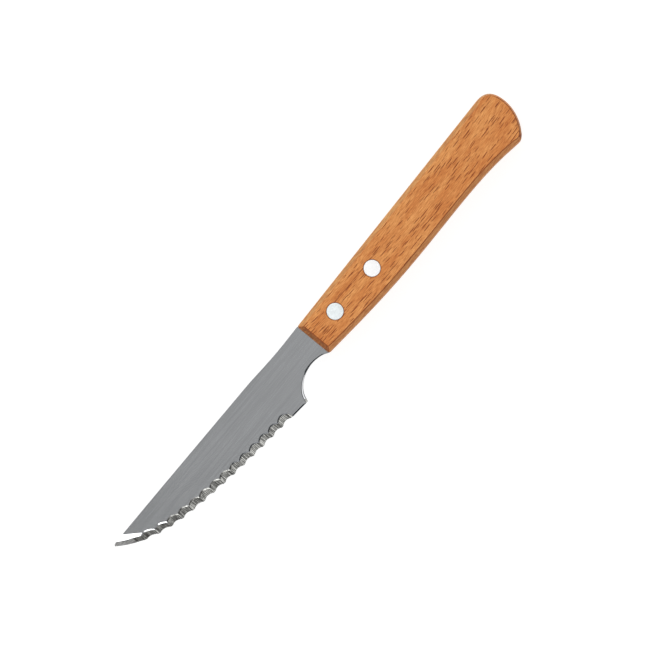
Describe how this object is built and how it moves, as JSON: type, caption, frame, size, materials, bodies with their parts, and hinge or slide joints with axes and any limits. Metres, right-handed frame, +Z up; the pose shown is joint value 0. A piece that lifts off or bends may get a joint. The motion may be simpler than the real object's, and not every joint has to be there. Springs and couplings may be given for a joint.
{
  "type": "steak knife",
  "caption": "Steak knife with a scalloped steel blade, a finger notch and a riveted beech handle, lying on its side.",
  "frame": {"origin": "centre of the knife's box seen from above, on the table that the knife lies on", "axes": "+X from the blade's point to the handle's butt, +Y towards the blade's back, +Z up out of the face with the ground edge"},
  "size_m": [0.21, 0.0214, 0.0105],
  "materials": {
    "blade_steel": "satin, brushed along the blade",
    "handle_wood": "oiled beech, satin",
    "rivet_aluminium": "sanded flush, satin"
  },
  "bodies": {
    "root": {"blade": "blade_steel", "handle": "handle_wood", "front_rivet_male": "rivet_aluminium", "front_rivet_female": "rivet_aluminium", "rear_rivet_male": "rivet_aluminium", "rear_rivet_female": "rivet_aluminium"}
  },
  "joints": []
}
